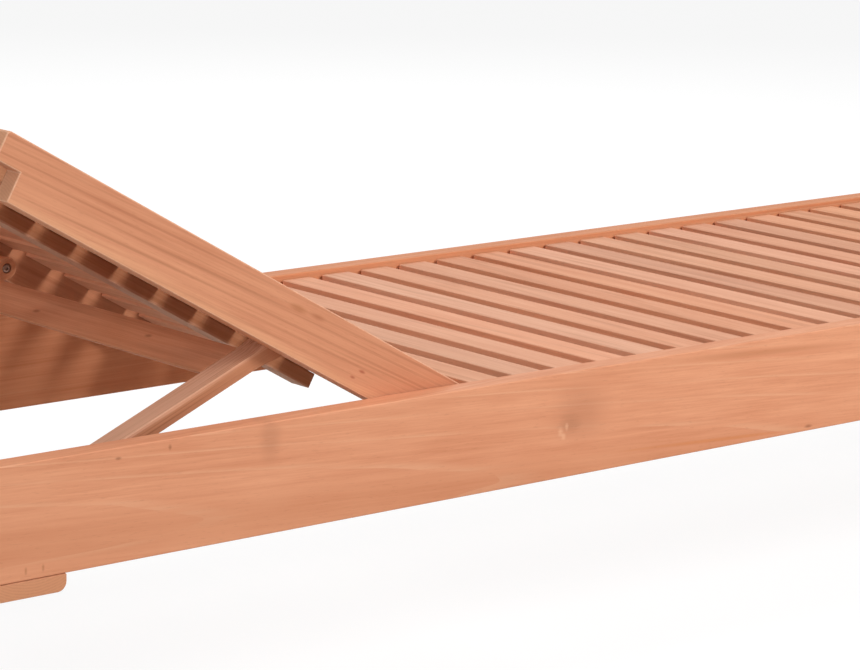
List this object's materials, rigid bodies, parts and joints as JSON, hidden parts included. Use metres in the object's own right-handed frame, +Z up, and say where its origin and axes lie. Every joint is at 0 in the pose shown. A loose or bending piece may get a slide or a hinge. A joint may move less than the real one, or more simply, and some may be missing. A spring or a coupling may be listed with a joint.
{
  "type": "sun lounger",
  "caption": "Slatted teak sun lounger with a hinged backrest raised by a swinging prop, whose feet move along notched racks inside the side rails.",
  "frame": {"origin": "on the floor under the middle of the side rails", "axes": "+X along the rails to the foot end, +Y to the left side of someone lying on it, +Z up"},
  "size_m": [1.9398, 0.595, 0.6127],
  "materials": {
    "teak_rail": "sanded, unoiled",
    "teak_slat": "sanded, unoiled",
    "teak_sawn": "planed, unoiled",
    "bolt_steel": "dull"
  },
  "bodies": {
    "frame": {"right_rail": "teak_rail", "left_rail": "teak_rail", "head_rail": "teak_rail", "foot_rail": "teak_rail", "right_ledger": "teak_sawn", "left_ledger": "teak_sawn", "seat_batten": "teak_sawn", "seat_slat_01": "teak_slat", "seat_slat_02": "teak_slat", "seat_slat_03": "teak_slat", "seat_slat_04": "teak_slat", "seat_slat_05": "teak_slat", "seat_slat_06": "teak_slat", "seat_slat_07": "teak_slat", "seat_slat_08": "teak_slat", "seat_slat_09": "teak_slat", "seat_slat_10": "teak_slat", "seat_slat_11": "teak_slat", "seat_slat_12": "teak_slat", "seat_slat_13": "teak_slat", "seat_slat_14": "teak_slat", "seat_slat_15": "teak_slat", "seat_slat_16": "teak_slat", "seat_slat_17": "teak_slat", "seat_slat_18": "teak_slat", "seat_slat_19": "teak_slat", "seat_slat_20": "teak_slat", "seat_slat_21": "teak_slat", "seat_slat_22": "teak_slat", "seat_slat_23": "teak_slat", "right_head_leg": "teak_rail", "left_head_leg": "teak_rail", "right_foot_leg": "teak_rail", "left_foot_leg": "teak_rail", "head_bearer": "teak_rail", "foot_bearer": "teak_rail", "right_rack": "teak_sawn", "left_rack": "teak_sawn", "right_hinge_bolt": "bolt_steel", "left_hinge_bolt": "bolt_steel"},
    "backrest": {"right_stile": "teak_rail", "left_stile": "teak_rail", "back_slat_01": "teak_slat", "back_slat_02": "teak_slat", "back_slat_03": "teak_slat", "back_slat_04": "teak_slat", "back_slat_05": "teak_slat", "back_slat_06": "teak_slat", "back_slat_07": "teak_slat", "back_slat_08": "teak_slat", "back_slat_09": "teak_slat", "back_slat_10": "teak_slat", "back_slat_11": "teak_slat", "back_head_rail": "teak_rail", "back_batten": "teak_sawn", "right_prop_bolt": "bolt_steel", "left_prop_bolt": "bolt_steel"},
    "prop": {"right_strut": "teak_rail", "left_strut": "teak_rail", "prop_cross_board": "teak_rail"}
  },
  "joints": [
    {"name": "backrest_hinge", "type": "hinge", "parent": "frame", "child": "backrest", "pos_m": [-0.3739, 0, 0.2925], "axis": [0, 1, 0], "range_deg": [-29.6, 30.4]},
    {"name": "prop_hinge", "type": "hinge", "parent": "backrest", "child": "prop", "pos_m": [-0.56451, 0, 0.38353], "axis": [0, 1, 0], "range_deg": [-50.5, 49.2]}
  ],
  "couplings": [
    {"joint": "prop_hinge", "follows": "backrest_hinge", "ratio": -1.661}
  ]
}
